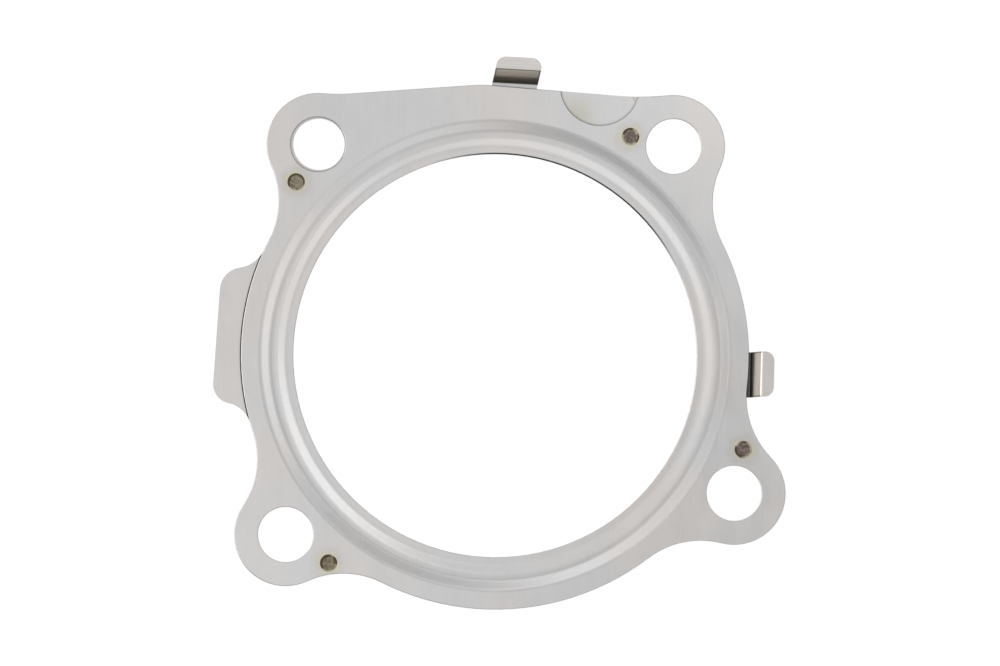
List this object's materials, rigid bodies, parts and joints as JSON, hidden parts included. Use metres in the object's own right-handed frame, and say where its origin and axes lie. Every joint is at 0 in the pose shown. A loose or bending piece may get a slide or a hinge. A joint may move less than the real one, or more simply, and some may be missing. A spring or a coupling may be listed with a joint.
{
  "type": "exhaust pipe gasket",
  "caption": "Flat multi-layer steel gasket that seals an exhaust pipe flange: beaded round bore, eared stud holes, a side tab, bent locating hooks and spot-welded sheets.",
  "frame": {"origin": "on the bore's axis, half way through the stack of sheets", "axes": "+Z out of the face with the half-round notch, towards which the hooks rise; +X to the right and +Y up as pictured"},
  "size_m": [0.1087, 0.1049, 0.0055],
  "materials": {
    "beaded_steel": "satin rolled stainless sheet",
    "carrier_steel": "satin rolled stainless sheet",
    "weld_metal": "heat-tinted spot weld"
  },
  "bodies": {
    "root": {"top_sheet": "beaded_steel", "carrier_sheet": "carrier_steel", "bottom_sheet": "beaded_steel", "weld_top_left": "weld_metal", "weld_top_right": "weld_metal", "weld_bottom_left": "weld_metal", "weld_bottom_right": "weld_metal"}
  },
  "joints": []
}
